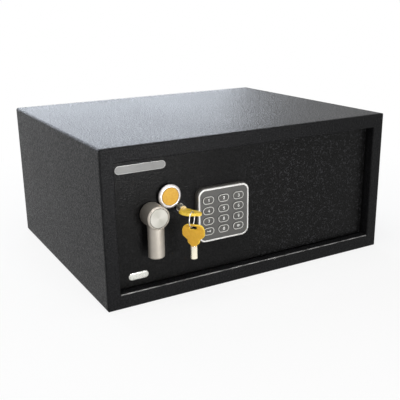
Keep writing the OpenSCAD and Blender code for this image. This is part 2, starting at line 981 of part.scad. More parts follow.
module keyhole_cap()
  color(nickel) {
    turned(cap_x, cap_y, cap_z)
      polygon([[0, 0], [cap_r - 0.5, 0], [cap_r, 0.5], [cap_r, 1.5], [cap_r - 0.5, 2.4],
        [cap_r - 2, 3.5], [cap_r - 3, 3.7], [insert_r, 3.4], [insert_r, cap_floor],
        [0, cap_floor]]);
    yrod(piv_x, piv_z, boss_r, cap_y - 0.5, yd - boss_play);
    yrod(piv_x, piv_z, piv_r, yd - 1, yr + 2);
  }

module keyhole_cap_insert()
  color(yellow)
    turned(cap_x, cap_y - cap_floor, cap_z)
      polygon([[0, 0], [insert_r, 0], [insert_r, 0.4], [insert_r - 0.3, 0.7], [0, 0.7]]);

module cap_clip()
  color(zinc)
    ytube(piv_x, piv_z, cap_clip_r, piv_r, yr + 0.4, yr + 1.4);

module keypad_housing()
  color(dark)
    difference() {
      union() {
        slab(pad_x, pad_z, pad_w, pad_h, pad_r, house_y + rim_w, yd);
        slab(pad_x, pad_z, pad_w - 0.8 * rim_w, pad_h - 0.8 * rim_w, pad_r - 0.4 * rim_w,
          house_y + 0.3 * rim_w, yd);
        slab(pad_x, pad_z, bez_w, bez_h, bez_r, house_y, yd);
      }
      slab(pad_x, pad_z, pocket_w, pocket_h, pocket_r, house_y - 1, pad_floor);
      yrod(pad_x, pad_z, cable_hole, pad_floor - 1, yd + 1);
    }

module keypad_bezel()
  color(nickel)
    difference() {
      union() {
        slab(pad_x, pad_z, bez_w, bez_h, bez_r, bezel_y + 0.7, house_y);
        slab(pad_x, pad_z, bez_w - 1, bez_h - 1, bez_r - 0.5, bezel_y + 0.3, house_y);
        slab(pad_x, pad_z, bez_w - 2.2, bez_h - 2.2, bez_r - 1.1, bezel_y, house_y);
      }
      slab(pad_x, pad_z, pocket_w, pocket_h, pocket_r, bezel_y - 1, house_y + 1);
    }

function btn_place(c, r) = [btn_x + (c - 1) * pitch_x, btn_z + (1.5 - r) * pitch_z];

module keypad_face()
  color("#6d6c68")
    difference() {
      slab(pad_x, pad_z, pocket_w, pocket_h, pocket_r, face_y, face_y + face_t);
      for (c = [0:2])
        for (r = [0:3])
          pill(btn_place(c, r)[0], btn_place(c, r)[1], btn_w + 2 * hole_play,
            btn_h + 2 * hole_play, face_y - 1, face_y + face_t + 1);
    }

module keypad_mat()
  color("#55564f")
    slab(pad_x, pad_z, pocket_w - 2 * mat_in, pocket_h - 2 * mat_in, mat_r, mat_y, board_y);

module keypad_circuit_board()
  color("#1e5b38")
    slab(pad_x, pad_z, pocket_w - 2 * board_in, pocket_h - 2 * board_in, mat_r, board_y,
      pad_floor);

module button(c, r)
  color("#5b5a56") {
    pill(btn_place(c, r)[0], btn_place(c, r)[1], btn_w, btn_h, face_y - btn_out,
      flange_y + flange_t);
    pill(btn_place(c, r)[0], btn_place(c, r)[1], btn_w + 2 * flange_w,
      btn_h + 2 * flange_w, flange_y, flange_y + flange_t);
  }

module button_1() button(0, 0);
module button_2() button(1, 0);
module button_3() button(2, 0);
module button_4() button(0, 1);
module button_5() button(1, 1);
module button_6() button(2, 1);
module button_7() button(0, 2);
module button_8() button(1, 2);
module button_9() button(2, 2);
module button_enter() button(0, 3);
module button_0() button(1, 3);
module button_clear() button(2, 3);

module battery_box()
  color(dark)
    difference() {
      slab(bat_x, bat_z, bat_in_w + 2 * bat_wall, bat_in_h + 2 * bat_wall, bat_r,
        bat_back, ycin);
      slab(bat_x, bat_z, bat_in_w, bat_in_h, 0.5, bat_back + bat_wall, ycin + 1);
    }

// Four cells side by side, every second one turned over
module batteries()
  color("#b8872b")
    for (i = [0:3])
      translate([bat_x + (i - 1.5) * bat_pitch, cell_y, bat_z])
        rotate([i % 2 == 0 ? 0 : 180, 0, 0])
          translate([0, 0, cell_shift]) {
            translate([0, 0, -cell_low])
              cylinder(r = cell_r, h = cell_h);
            cylinder(r = nub_r, h = nub_top);
          }

module battery_contacts()
  color(zinc)
    for (i = [0:3])
      translate([bat_x + (i - 1.5) * bat_pitch, cell_y, bat_z])
        rotate([i % 2 == 0 ? 0 : 180, 0, 0]) {
          translate([0, 0, -bat_in_h / 2])
            difference() {
              cylinder(r1 = spring_wide, r2 = spring_top,
                h = bat_in_h / 2 + cell_shift - cell_low);
              translate([0, 0, -1])
                cylinder(r = spring_bore, h = bat_in_h / 2);
            }
          bx(-contact_w / 2, contact_w / 2, -contact_w / 2, contact_w / 2,
            nub_top + cell_shift, bat_in_h / 2);
        }

module battery_cover()
  color(dark)
    difference() {
      slab(bat_x, bat_z, lid_w, lid_h, bat_r, ycov + lid_gap, ycov + lid_gap + lid_t);
      for (i = [-1, 0, 1])
        bx(bat_x + 20 + i * 3, bat_x + 21 + i * 3, ycov + 1.4, ycov + 3, bat_z - 12,
          bat_z + 12);
    }

module reset_switch()
  color(dark)
    bx(reset_x - reset_w / 2, reset_x + reset_w / 2, yr, ycin - rim_back - switch_gap,
      reset_z - reset_w / 2, reset_z + reset_w / 2);

module reset_button()
  color("#a8231c") {
    yrod(reset_x, reset_z, reset_r, ycin - rim_gap - 1, ycov + reset_out);
    yrod(reset_x, reset_z, reset_rim, ycin - rim_back, ycin - rim_gap);
  }

// Cable runs on the back of the door plate
module wiring()
  color("#1a1a1a") {
    yrod(pad_x, pad_z, cable_r, pad_floor, cable_y);
    for (x = [pad_x, bat_cable_x])
      translate([x, cable_y, pad_z])
        sphere(r = cable_r);
    xrod(cable_y, pad_z, cable_r, pad_x, bat_cable_x);
    yrod(bat_cable_x, pad_z, cable_r, cable_y, bat_back);
    zrod(pad_x, cable_y, cable_r, pad_z, reset_z);
    translate([pad_x, cable_y, reset_z])
      sphere(r = cable_r);
    xrod(cable_y, reset_z, cable_r, rod_x + sol_w / 2, reset_x - reset_w / 2);
  }

body_shell();
back_panel();
door_frame();
hinge_brackets();
door_panel();
hinge_pins();
hinge_washers();
inner_cover();
mounting_screws();
bolt_guides();
guide_studs();
spindle_bush();
solenoid_frame();
solenoid_coil();
keypad_housing();
keypad_bezel();
keypad_face();
keypad_mat();
keypad_circuit_board();
lock_barrel();
lock_nut();
battery_box();
batteries();
battery_contacts();
battery_cover();
reset_switch();
reset_button();
wiring();
bolt_bar();
locking_bolts();
bolt_pins();
knob_body();
knob_face();
knob_spindle();
spindle_cam();
spindle_clip();
solenoid_plunger();
plunger_spring();
lock_plug();
lock_cam();
key_1_blade();
key_1_bow();
key_ring();
key_2_blade();
key_2_bow();
keyhole_cap();
keyhole_cap_insert();
cap_clip();
button_1();
button_2();
button_3();
button_4();
button_5();
button_6();
button_7();
button_8();
button_9();
button_0();
button_enter();
button_clear();
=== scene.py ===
import math

import bmesh
import bpy
from mathutils import Matrix, Vector


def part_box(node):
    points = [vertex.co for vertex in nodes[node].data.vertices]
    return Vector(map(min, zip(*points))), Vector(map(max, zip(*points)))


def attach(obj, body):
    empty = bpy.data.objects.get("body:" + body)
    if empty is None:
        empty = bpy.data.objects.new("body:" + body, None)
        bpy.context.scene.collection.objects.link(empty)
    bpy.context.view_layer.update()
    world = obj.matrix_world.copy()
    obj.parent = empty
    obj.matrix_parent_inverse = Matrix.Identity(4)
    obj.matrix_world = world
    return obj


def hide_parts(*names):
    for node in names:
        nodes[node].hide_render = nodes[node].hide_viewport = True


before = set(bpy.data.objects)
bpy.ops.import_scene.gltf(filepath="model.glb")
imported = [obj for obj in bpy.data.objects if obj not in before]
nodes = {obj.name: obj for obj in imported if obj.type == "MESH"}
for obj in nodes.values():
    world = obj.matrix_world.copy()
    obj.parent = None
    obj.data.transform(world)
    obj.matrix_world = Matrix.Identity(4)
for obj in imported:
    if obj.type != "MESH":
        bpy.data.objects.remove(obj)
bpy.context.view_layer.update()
scene = bpy.context.scene

MM = 0.001

# Places seen from the front, (x, z) in metres, and angles of the two keys
LOCK = (-0.110, 0.1128)
KNOB = (-0.1495, 0.1114)
SCREWS = [(x, z) for x in (-0.178, -0.020, 0.166) for z in (0.039, 0.161)]
KEY_LEAN = math.radians(10)
HANG_TURN = math.radians(-48)

# Camera: place, angles, and focal length in pixels of a picture 400 pixels wide
EYE = (-0.4618, -0.83808, 0.35663)
YAW, PITCH, ROLL = math.radians(29.496), math.radians(17.208), math.radians(0.809)
FOCAL, PICTURE = 645.6, 400

# Colours that a material adds on some places only
# colour of painted glints: pale flecks that stand in for sparkle
GLINT_TINT = (0.034, 0.034, 0.036)
# pale sharp edges: part wear of the paint, part painted highlight
EDGE_WEAR_AND_HIGHLIGHT = (0.04, 0.039, 0.038)
# colour of a painted highlight line on the sill's front edge
SILL_HIGHLIGHT = (0.50, 0.49, 0.48)
SHADED = (0.05, 0.047, 0.043)
# colour of painted shade in a seam
SEAM_SHADE = (0.06, 0.055, 0.05)
# colour of painted shade in the seam round the golden insert
GOLD_SEAM_SHADE = (0.10, 0.05, 0.012)

# Grain of metals, as noise scales along x, y and z
BRUSHED_Z = (500, 500, 5000)
BRUSHED_X = (150, 4000, 4000)
FINE = (1500, 1500, 1500)


# ---------------------------------------------------------------- materials
class Mat:
    """One node material with short helpers for its graph."""

    SOCKETS = {"metal": "Metallic", "rough": "Roughness", "spec": "Specular IOR Level",
               "coat": "Coat Weight", "coat_rough": "Coat Roughness"}

    def __init__(self, name):
        self.m = bpy.data.materials.new(name)
        self.m.use_nodes = True
        self.t = self.m.node_tree
        self.n = self.t.nodes
        self.b = self.n["Principled BSDF"]
        self.co = self.n.new("ShaderNodeTexCoord").outputs["Object"]

    def link(self, a, b):
        self.t.links.new(a, b)

    def set(self, **kw):
        """Plain values of the shader."""
        for k, v in kw.items():
            self.b.inputs[self.SOCKETS[k]].default_value = v

    def shade(self, color, rough=None, normal=None):
        """Links these to the shader and gives the material."""
        for name, v in (("Base Color", color), ("Roughness", rough), ("Normal", normal)):
            if v is not None:
                self.link(v, self.b.inputs[name])
        return self.m

    def noise(self, scale, detail=3.0, rough=0.55, co=None, distort=0.0):
        k = self.n.new("ShaderNodeTexNoise")
        k.inputs["Scale"].default_value = scale
        k.inputs["Detail"].default_value = detail
        k.inputs["Roughness"].default_value = rough
        k.inputs["Distortion"].default_value = distort
        self.link(co or self.co, k.inputs["Vector"])
        return k.outputs["Fac"]

    def span(self, fac, lo, hi, a=0.0, b=1.0):
        """lo where fac is a or less, hi where it is b or more, and even between."""
        k = self.n.new("ShaderNodeMapRange")
        k.inputs["From Min"].default_value = a
        k.inputs["From Max"].default_value = b
        k.inputs["To Min"].default_value = lo
        k.inputs["To Max"].default_value = hi
        self.link(fac, k.inputs["Value"])
        return k.outputs["Result"]

    def math(self, op, *values):
        k = self.n.new("ShaderNodeMath")
        k.operation = op
        for i, v in enumerate(values):
            if isinstance(v, (int, float)):
                k.inputs[i].default_value = v
            else:
                self.link(v, k.inputs[i])
        return k.outputs[0]

    def times(self, first, *others):
        """Product of all values."""
        for v in others:
            first = self.math("MULTIPLY", first, v)
        return first

    def vector(self, op, a, b=None):
        k = self.n.new("ShaderNodeVectorMath")
        k.operation = op
        self.link(a, k.inputs[0])
        if b is not None:
            self.link(b, k.inputs[1])
        return k.outputs["Value"]

    def mix(self, fac, a, b):
        """Colour a where fac is 0 and b where it is 1."""
        k = self.n.new("ShaderNodeMix")
        k.data_type = "RGBA"
        for name, v in (("Factor_Float", fac), ("A_Color", a), ("B_Color", b)):
            s = [i for i in k.inputs if i.identifier == name][0]
            if isinstance(v, tuple):
                s.default_value = (*v, 1)
            else:
                self.link(v, s)
        return [o for o in k.outputs if o.identifier == "Result_Color"][0]

    def axis(self, i):
        """Coordinate of the point: 0 is x, 1 is y, 2 is z."""
        k = self.n.new("ShaderNodeSeparateXYZ")
        self.link(self.co, k.inputs[0])
        return k.outputs[i]

    def steps(self, cx, cz):
        """How far right of and above (cx, cz) the point is, seen from the front."""
        return self.math("SUBTRACT", self.axis(0), cx), self.math("SUBTRACT", self.axis(2), cz)

    def length(self, x, z):
        return self.math("SQRT", self.math("ADD", self.times(x, x), self.times(z, z)))

    def stretched(self, scale):
        k = self.n.new("ShaderNodeMapping")
        k.inputs["Scale"].default_value = scale
        self.link(self.co, k.inputs["Vector"])
        return k.outputs["Vector"]

    def bump(self, height, strength, dist, normal=None):
        k = self.n.new("ShaderNodeBump")
        k.inputs["Strength"].default_value = strength
        k.inputs["Distance"].default_value = dist
        self.link(height, k.inputs["Height"])
        if normal is not None:
            self.link(normal, k.inputs["Normal"])
        return k.outputs["Normal"]

    def soft_edge(self, radius):
        k = self.n.new("ShaderNodeBevel")
        k.samples = 6
        k.inputs["Radius"].default_value = radius
        return k.outputs["Normal"]


def powder(name, dark, light, scale, rough, speckle, edge, depth, spec, glint_share=0.0, sill=None):
    """Powder coat: orange-peel wrinkles, fine grain, and pale sharp edges, part wear of the paint
    and part painted highlight.

    Its pale flecks, most of them on the right, are painted glints, as strong as the argument after
    spec says. sill = (half width, front y, top z) of a sill whose front edge gets a painted
    highlight line.
    """
    m = Mat(name)
    wrinkle = m.noise(scale, 2, 0.5, distort=0.4)
    speck = m.noise(420, 1, 0.5)
    tint = m.mix(m.span(wrinkle, 0.0, 1.0, 0.4, 0.62), dark, light)
    # painted glints: pale flecks that stand in for sparkle, most of them on the right
    if glint_share:
        glint = m.times(m.span(speck, 0.0, glint_share, 0.56, 0.66),
                        m.span(m.axis(0), 0.25, 1.0, -0.03, 0.06))
        tint = m.mix(glint, tint, GLINT_TINT)

    # a rounded normal turns away from the face's own normal only near a sharp edge
    flat = m.n.new("ShaderNodeNewGeometry").outputs["True Normal"]
    turn = m.vector("DOT_PRODUCT", m.soft_edge(0.5 * MM), flat)
    # pale edges: partly wear of the paint, partly a painted highlight along them
    edge_wear_and_highlight = m.times(m.span(turn, 1.0, 0.0, 0.8, 0.97), m.span(m.noise(60, 3), 0.4, 1.0, 0.35, 0.6))
    tint = m.mix(edge_wear_and_highlight, tint, EDGE_WEAR_AND_HIGHLIGHT)
    if sill is not None:
        half, front, top = sill
        # a painted highlight line along the sill's rounded front edge
        off = m.math("ABSOLUTE", m.math("SUBTRACT", m.axis(2), top - 0.3 * MM))
        sill_highlight = m.times(m.span(off, 1.0, 0.0, 0.2 * MM, 0.7 * MM),
                      m.span(m.axis(1), 1.0, 0.0, front + 1.2 * MM, front + 1.8 * MM),
                      m.span(m.math("ABSOLUTE", m.axis(0)), 1.0, 0.0, half - 1.5 * MM, half),
                      m.span(m.noise(45, 3), 0.3, 1.0, 0.4, 0.6))
        tint = m.mix(sill_highlight, tint, SILL_HIGHLIGHT)

    m.set(spec=spec)
    grain = m.math("ADD", wrinkle, m.times(m.noise(1300, 2), 0.2))
    return m.shade(tint,
                   m.math("ADD", m.span(speck, rough + speckle, rough - speckle, 0.42, 0.58),
                          m.span(m.noise(9, 2), -0.03, 0.04)),
                   m.bump(grain, 1.0, depth, m.soft_edge(edge)))


def plated(name, color, rough=0.32, grain=(900, 900, 900), depth=0.12, edge=0.3 * MM, metal=1.0,
           wall=None, groove=None):
    """Bare or plated metal with a grain and blotches.

    wall is the y behind which it is shaded. groove = (x, z, radius, floor y) of a disc with a
    painted shade in the seam round it.
    """
    m = Mat(name)
    g = m.noise(1.0, 3, co=m.stretched(grain))
    blot = m.noise(60, 2)
    tint = m.mix(m.span(blot, 0, 1, 0.35, 0.7), color, tuple(v * 0.86 for v in color))
    if wall is not None:
        tint = m.mix(m.span(m.axis(1), 0, 1, wall, wall + 0.2 * MM), tint, SHADED)
    if groove is not None:
        cx, cz, radius, floor_y = groove
        far = m.length(*m.steps(cx, cz))
        # painted shade in the seam round the disc
        seam_shade = m.times(m.span(far, 1, 0, radius + 0.4 * MM, radius + 0.7 * MM),
                       m.span(m.axis(1), 1, 0, floor_y, floor_y + 0.2 * MM))
        tint = m.mix(seam_shade, tint, SEAM_SHADE)
    m.set(metal=metal)
    return m.shade(tint,
                   m.math("ADD", m.span(g, rough - 0.06, rough + 0.08),
                          m.span(blot, -0.02, 0.03)),
                   m.bump(g, depth, 0.04 * MM, m.soft_edge(edge)))


def plastic(name, color, rough=0.45, grain=2600, depth=0.15, edge=0.3 * MM, coat=0.0):
    """Moulded plastic, rubber or print with a fine grain and faint blotches."""
    m = Mat(name)
    g = m.noise(grain, 2)
    blot = m.noise(35, 2)
    m.set(coat=coat, coat_rough=0.15)
    return m.shade(m.mix(m.span(blot, 0, 0.7, 0.35, 0.75), color, tuple(v * 0.82 for v in color)),
                   m.span(g, rough - 0.05, rough + 0.07),
                   m.bump(g, depth, 0.06 * MM, m.soft_edge(edge)))


def knob_disc(name, cx, cz):
    """Metal turned on a lathe: fine rings, and a painted highlight in fan-shaped light and dark
    sectors.
    """
    m = Mat(name)
    x, z = m.steps(cx, cz)
    twice = m.times(m.math("ARCTAN2", z, x), 2.0)
    comb = m.n.new("ShaderNodeCombineXYZ")
    m.link(m.times(m.length(x, z), 9000.0), comb.inputs[0])
    m.link(twice, comb.inputs[1])
    rings = m.noise(1.0, 3, co=comb.outputs[0])
    # painted highlight: the colour swings between light and dark in fan-shaped sectors
    fan = m.math("COSINE", m.math("ADD", twice, -0.9))
    m.set(metal=1.0)
    return m.shade(m.mix(m.span(fan, 0, 1, -1, 1), (0.39, 0.38, 0.34), (0.50, 0.485, 0.445)),
                   m.span(rings, 0.26, 0.42),
                   m.bump(rings, 0.2, 0.03 * MM))


def collar_metal(name, cx, cz):
    """Dark plated lock face: painted highlights on its rim in two fan-shaped sectors, and a pale
    post from wear.
    """
    # radius of the post, inner radius of the rim, and the y behind which all is dark
    post_r, rim_r, behind = 2.4 * MM, 4.62 * MM, -0.1655
    m = Mat(name)
    x, z = m.steps(cx, cz)
    r = m.length(x, z)
    # painted highlight on the rim, strongest in two opposite sectors
    fan = m.math("COSINE", m.times(m.math("SUBTRACT", m.math("ARCTAN2", z, x), 0.9), 2.0))
    rim = m.times(m.span(r, 0.0, 1.0, rim_r, rim_r + 0.2 * MM), m.span(fan, 0.12, 1.0, -0.2, 0.9))
    post = m.times(m.span(r, 1.0, 0.0, post_r, post_r + 0.2 * MM), 0.4)
    side = m.span(m.axis(1), 0.0, 1.0, behind, behind + 0.2 * MM)
    highlight_and_wear = m.times(m.math("MAXIMUM", rim, post), m.math("SUBTRACT", 1.0, side))
    g = m.noise(1400, 2)
    m.set(metal=1.0)
    return m.shade(m.mix(highlight_and_wear, (0.02, 0.02, 0.022), (0.92, 0.90, 0.84)),
                   m.span(g, 0.28, 0.42),
                   m.bump(g, 0.1, 0.04 * MM, m.soft_edge(0.3 * MM)))


def golden(name, light, dark, rim=None, edge=0.4 * MM):
    """Mottled yellow plastic; rim = (x, z, radius) gives it a painted shade in the seam round a
    disc.
    """
    m = Mat(name)
    g = m.noise(1800, 2)
    tint = m.mix(m.span(m.noise(420, 3), 0, 1, 0.35, 0.68), light, dark)
    if rim is not None:
        cx, cz, radius = rim
        far = m.length(*m.steps(cx, cz))
        # painted shade in the seam at the disc's edge
        tint = m.mix(m.span(far, 0, 1, radius - 0.6 * MM, radius - 0.2 * MM), tint, GOLD_SEAM_SHADE)
    m.set(spec=0.35)
    return m.shade(tint,
                   m.span(g, 0.30, 0.42),
                   m.bump(g, 0.12, 0.05 * MM, m.soft_edge(edge)))


def middle(box):
    """Middle (x, z) of a box, seen from the front."""
    lo, hi = box
    return (lo.x + hi.x) / 2, (lo.z + hi.z) / 2


def disc(box):
    """Middle (x, z) and radius of the disc in a box, seen from the front."""
    lo, hi = box
    return (*middle(box), (hi.x - lo.x) / 2)


# the sill runs 197.5 mm to either side, under the door's opening, and is 19 mm high
cabinet_mat = powder("powder_cabinet", (0.006, 0.006, 0.0065), (0.014, 0.014, 0.015), 480,
                     rough=0.40, speckle=0.07, edge=2.6 * MM, depth=0.8 * MM, spec=0.08,
                     sill=(0.1975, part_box("door_frame")[0].y, 0.019))
door_mat = powder("powder_door", (0.004, 0.004, 0.004), (0.010, 0.0098, 0.0097), 520,
                  rough=0.27, speckle=0.03, edge=1.5 * MM, depth=0.3 * MM, spec=0.09, glint_share=0.9)
zinc_mat = plated("zinc", (0.60, 0.61, 0.62), 0.36)
black_mat = plated("blackened_steel", (0.035, 0.034, 0.034), 0.42)
nickel_mat = plated("satin_nickel", (0.74, 0.71, 0.70), 0.46, BRUSHED_Z, 0.2, 0.6 * MM)
knob_mat = plated("knob_nickel", (0.46, 0.425, 0.375), 0.54, BRUSHED_Z, 0.2, 0.6 * MM,
                  groove=(*disc(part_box("knob_face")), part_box("knob_face")[1].y))
key_mat = plated("key_nickel", (0.96, 0.90, 0.72), 0.2, (3000, 3000, 400), 0.08, metal=0.8)
ring_mat = plated("ring_steel", (0.86, 0.84, 0.80), 0.3)
bezel_mat = plated("bezel_silver", (0.93, 0.92, 0.89), 0.55, FINE, 0.06, 0.5 * MM, metal=0.0,
                   wall=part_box("keypad_bezel")[0].y + 0.6 * MM)
plate_mat = plated("plate_aluminium", (0.37, 0.37, 0.36), 0.46, BRUSHED_X, 0.25, 0.2 * MM, 0.35)
panel_mat = plated("plate_panel", (0.20, 0.20, 0.195), 0.5, BRUSHED_X, 0.35, 0.2 * MM, 0.35)
badge_mat = plated("badge_chrome", (0.76, 0.76, 0.71), 0.26, FINE, 0.08, 0.3 * MM, 0.4)
coil_mat = plated("copper_winding", (0.62, 0.27, 0.12), 0.35, (300, 300, 4500), 0.6)
cell_mat = plated("cell_jacket", (0.55, 0.32, 0.07), 0.3)
insert_mat = golden("golden_insert", (0.68, 0.40, 0.05), (0.60, 0.31, 0.03),
                    disc(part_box("keyhole_cap_insert")), 0.3 * MM)
bow_mat = golden("golden_bow", (0.70, 0.385, 0.03), (0.63, 0.335, 0.018))
# a paler copy of the bow's yellow, as a painted highlight
bow_highlight_mat = golden("golden_bow_highlight", (0.86, 0.60, 0.07), (0.78, 0.52, 0.05))
dark_mat = plastic("dark_plastic", (0.022, 0.022, 0.023), 0.5)
housing_mat = plastic("housing_grey", (0.085, 0.08, 0.072), 0.36, 2600, 0.1, 0.4 * MM, 0.2)
face_mat = plastic("keypad_grey", (0.080, 0.078, 0.073), 0.42, 2200, 0.08, 0.3 * MM, 0.1)
button_mat = plastic("button_grey", (0.068, 0.066, 0.060), 0.38, 2600, 0.06, 0.6 * MM, 0.2)
legend_mat = plastic("pale_print", (0.86, 0.86, 0.83), 0.4, 2600, 0.05, 0.0)
outline_mat = plastic("pale_outline", (0.64, 0.635, 0.60), 0.4, 2600, 0.05, 0.0)
silicone_mat = plastic("silicone", (0.16, 0.16, 0.15), 0.6)
board_mat = plastic("circuit_board", (0.02, 0.11, 0.04), 0.35)
cable_mat = plastic("cable", (0.015, 0.015, 0.015), 0.5)
red_mat = plastic("red_plastic", (0.5, 0.02, 0.015), 0.35)
lock_mat = collar_metal("lock_collar", *LOCK)
disc_mat = knob_disc("turned_disc", *KNOB)
# dark crosses on the screw heads: painted shade where their recesses are
cross_shade = Mat("cross_shade_dark")
cross_shade.set(rough=0.6)
cross_shade_mat = cross_shade.shade(cross_shade.mix(cross_shade.noise(900), (0.006, 0.006, 0.006), (0.02, 0.02, 0.02)))

looks = {
    cabinet_mat: ["body_shell", "back_panel", "door_frame", "hinge_brackets"],
    door_mat: ["door_panel"],
    black_mat: ["hinge_pins", "hinge_washers"],
    zinc_mat: ["mounting_screws", "bolt_guides", "guide_studs",
               "spindle_bush", "solenoid_frame", "lock_nut", "battery_contacts", "bolt_bar",
               "locking_bolts", "bolt_pins", "knob_spindle", "spindle_cam", "spindle_clip",
               "solenoid_plunger", "plunger_spring", "lock_cam", "cap_clip"],
    nickel_mat: ["keyhole_cap"],
    knob_mat: ["knob_body"],
    disc_mat: ["knob_face"],
    bezel_mat: ["keypad_bezel"],
    lock_mat: ["lock_plug", "lock_barrel"],
    key_mat: ["key_1_blade", "key_2_blade"],
    ring_mat: ["key_ring"],
    dark_mat: ["inner_cover", "battery_box", "battery_cover", "reset_switch"],
    housing_mat: ["keypad_housing"],
    face_mat: ["keypad_face"],
    button_mat: [n for n in nodes if n.startswith("button_")],
    silicone_mat: ["keypad_mat"],
    insert_mat: ["keyhole_cap_insert"],
    bow_mat: ["key_1_bow", "key_2_bow"],
    coil_mat: ["solenoid_coil"],
    board_mat: ["keypad_circuit_board"],
    cell_mat: ["batteries"],
    cable_mat: ["wiring"],
    red_mat: ["reset_button"],
}
for material, names in looks.items():
    for name in names:
        me = nodes[name].data
        if not me.materials:
            me.materials.append(material)
        for i in range(len(me.materials)):
            me.materials[i] = material
missing = sorted(set(nodes) - {n for names in looks.values() for n in names})
assert not missing, missing


# ---------------------------------------------------------------- mesh helpers
def add(name, bm, material, body, smooth=True):
    me = bpy.data.meshes.new(name)
    bm.normal_update()
    bm.to_mesh(me)
    bm.free()
    ob = bpy.data.objects.new(name, me)
    scene.collection.objects.link(ob)
    me.materials.append(material)
    for p in me.polygons:
        p.use_smooth = smooth
    if smooth:
        me.set_sharp_from_angle(angle=math.radians(38))
    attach(ob, body)
    return ob


def rounded(w, h, r, seg=10):
    """Points of a rounded rectangle round zero, anticlockwise seen from the front."""
    pts = []
    for k, (sx, sz) in enumerate(((1, 1), (-1, 1), (-1, -1), (1, -1))):
        for i in range(seg + 1):
            a = math.pi / 2 * (k + i / seg)
            pts.append((sx * (w / 2 - r) + r * math.cos(a), sz * (h / 2 - r) + r * math.sin(a)))
    return pts


def verts(bm, cx, y, cz, points):
    """New vertices at depth y for points (x, z) round (cx, cz)."""
    return [bm.verts.new((cx + x, y, cz + z)) for x, z in points]


def bridge(bm, a, b):
    """Faces between two closed rings with as many vertices."""
    for i in range(len(a)):
        j = (i + 1) % len(a)
        bm.faces.new((a[i], a[j], b[j], b[i]))


def plate(name, cx, cz, w, h, r, y_back, t, bevel, material, body, crown=0.0, sunk=0.0):
    """A thin plate facing the front with a bevelled rim, and a crowned middle or a sunk panel."""
    bm = bmesh.new()
    levels = [(0.0, 0.0), (0.0, t - bevel), (bevel * 0.3, t - bevel * 0.3), (bevel, t)]
    if crown:
        levels += [(min(w, h) * 0.16, t + crown * 0.6), (min(w, h) * 0.33, t + crown)]
    if sunk:
        levels += [(bevel + 0.6 * MM, t), (bevel + 0.75 * MM, t - sunk)]
    rings = [verts(bm, cx, y_back - up, cz,
                   rounded(w - 2 * inset, h - 2 * inset, max(r - inset, 0.1 * MM)))
             for inset, up in levels]
    for a, b in zip(rings, rings[1:]):
        bridge(bm, a, b)
    panel = bm.faces.new(rings[-1])
    bm.faces.new(list(reversed(rings[0])))
    bmesh.ops.recalc_face_normals(bm, faces=bm.faces)
    panel.material_index = 1 if sunk else 0
    ob = add(name, bm, material, body)
    if sunk:
        ob.data.materials.append(panel_mat)


def pill_ring(name, cx, cz, w, h, width, y_back, t, material, body):
    """A raised pill-shaped outline with a rounded top."""
    bm = bmesh.new()
    levels = [(0.0, 0.0), (0.0, t * 0.6), (width * 0.25, t),
              (width * 0.75, t), (width, t * 0.6), (width, 0.0)]
    rings = [verts(bm, cx, y_back - up, cz,
                   rounded(w - 2 * inset, h - 2 * inset, h / 2 - inset - 1e-6, 12))
             for inset, up in levels]
    for a, b in zip(rings, rings[1:] + rings[:1]):
        bridge(bm, a, b)
    bmesh.ops.recalc_face_normals(bm, faces=bm.faces)
    add(name, bm, material, body)


def strokes(name, cx, cz, lines, width, y_back, t, material, body):
    """Flat printed strokes: each line is a list of points, drawn with round ends."""
    def cap(p, q):
        """Round end at p of the stroke that comes from q."""
        d = (p - q).normalized()
        first = math.atan2(d.y, d.x) - math.pi / 2
        angles = [first + math.pi * k / 6 for k in range(1, 6)]
        return [p + Vector((math.cos(a), math.sin(a))) * width / 2 for a in angles]

    bm = bmesh.new()
    for line in lines:
        pts = [Vector(p) for p in line]
        left, right = [], []
        for i, p in enumerate(pts):
            d = (pts[min(i + 1, len(pts) - 1)] - pts[max(i - 1, 0)]).normalized()
            side = Vector((-d.y, d.x)) * width / 2
            left.append(p + side)
            right.append(p - side)
        left, right, end, start = (verts(bm, cx, y_back - t, cz, ps)
                                   for ps in (left, right, cap(pts[-1], pts[-2]),
                                              cap(pts[0], pts[1])))
        for i in range(len(pts) - 1):
            bm.faces.new((right[i], right[i + 1], left[i + 1], left[i]))
        bm.faces.new([right[-1]] + end + [left[-1]])
        bm.faces.new([left[0]] + start + [right[0]])
    geom = bmesh.ops.extrude_face_region(bm, geom=list(bm.faces))
    vs = [v for v in geom["geom"] if isinstance(v, bmesh.types.BMVert)]
    bmesh.ops.translate(bm, verts=vs, vec=(0, t * 0.9, 0))
    bmesh.ops.recalc_face_normals(bm, faces=bm.faces)
    add(name, bm, material, body, smooth=False)


def arc(cx, cz, rx, rz, a0, a1, n=10):
    """Points of an arc of an ellipse from angle a0 to a1, in degrees."""
    return [(cx + rx * math.cos(math.radians(a0 + (a1 - a0) * i / n)),
             cz + rz * math.sin(math.radians(a0 + (a1 - a0) * i / n))) for i in range(n + 1)]


